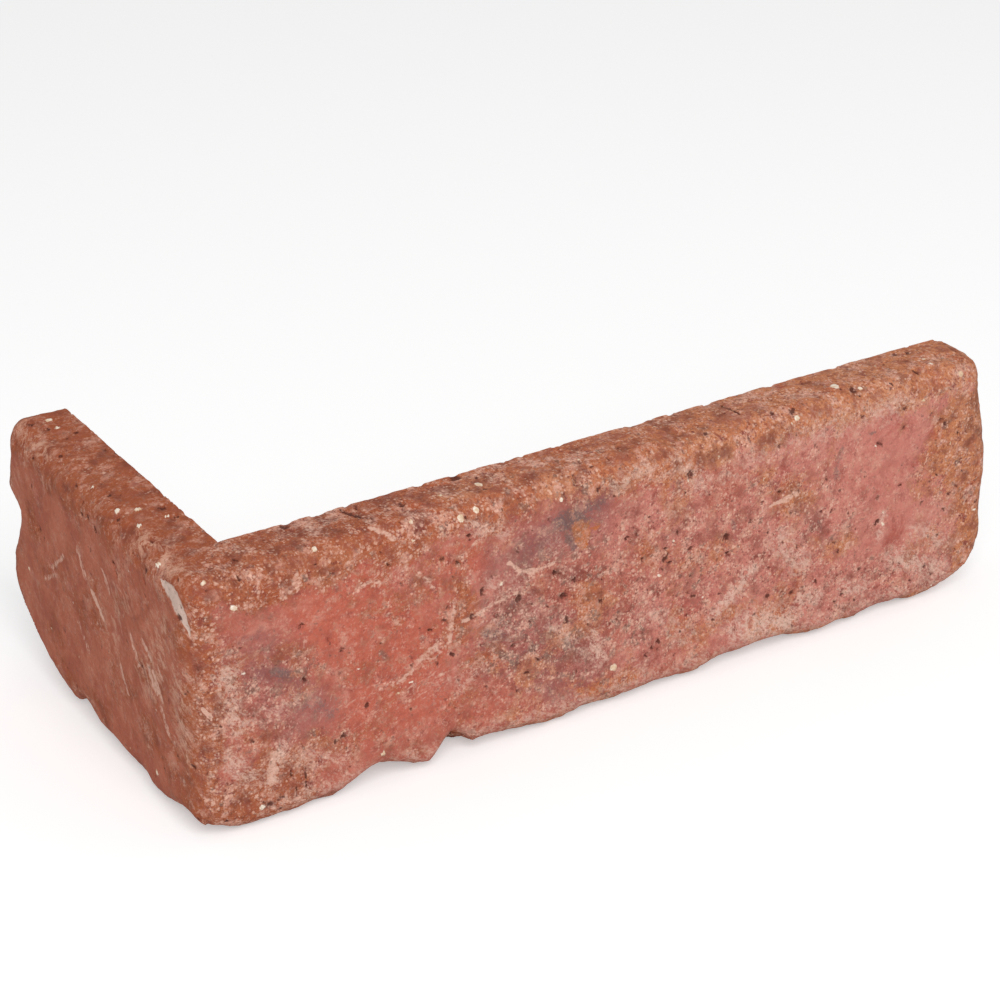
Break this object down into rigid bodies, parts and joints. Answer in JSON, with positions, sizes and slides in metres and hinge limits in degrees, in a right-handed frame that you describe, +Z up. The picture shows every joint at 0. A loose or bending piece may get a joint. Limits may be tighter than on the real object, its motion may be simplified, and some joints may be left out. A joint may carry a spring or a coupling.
{
  "type": "corner brick slip",
  "caption": "L-shaped corner slip of fired clay, sawn from a tumbled facing brick: worn outer faces and arrises, flat sawn backs and a sharp inner corner.",
  "frame": {"origin": "middle of the bounding box in plan, on the bed that the slip stands on", "axes": "+X along the stretcher leg away from the outer corner, +Y along the header leg towards the wall, +Z up from bed to bed; the faces that show look along -Y and -X"},
  "size_m": [0.24, 0.11, 0.07],
  "materials": {
    "fired_clay": "matt, dry, granular on the tumbled rims"
  },
  "bodies": {
    "root": {"corner_slip": "fired_clay"}
  },
  "joints": []
}
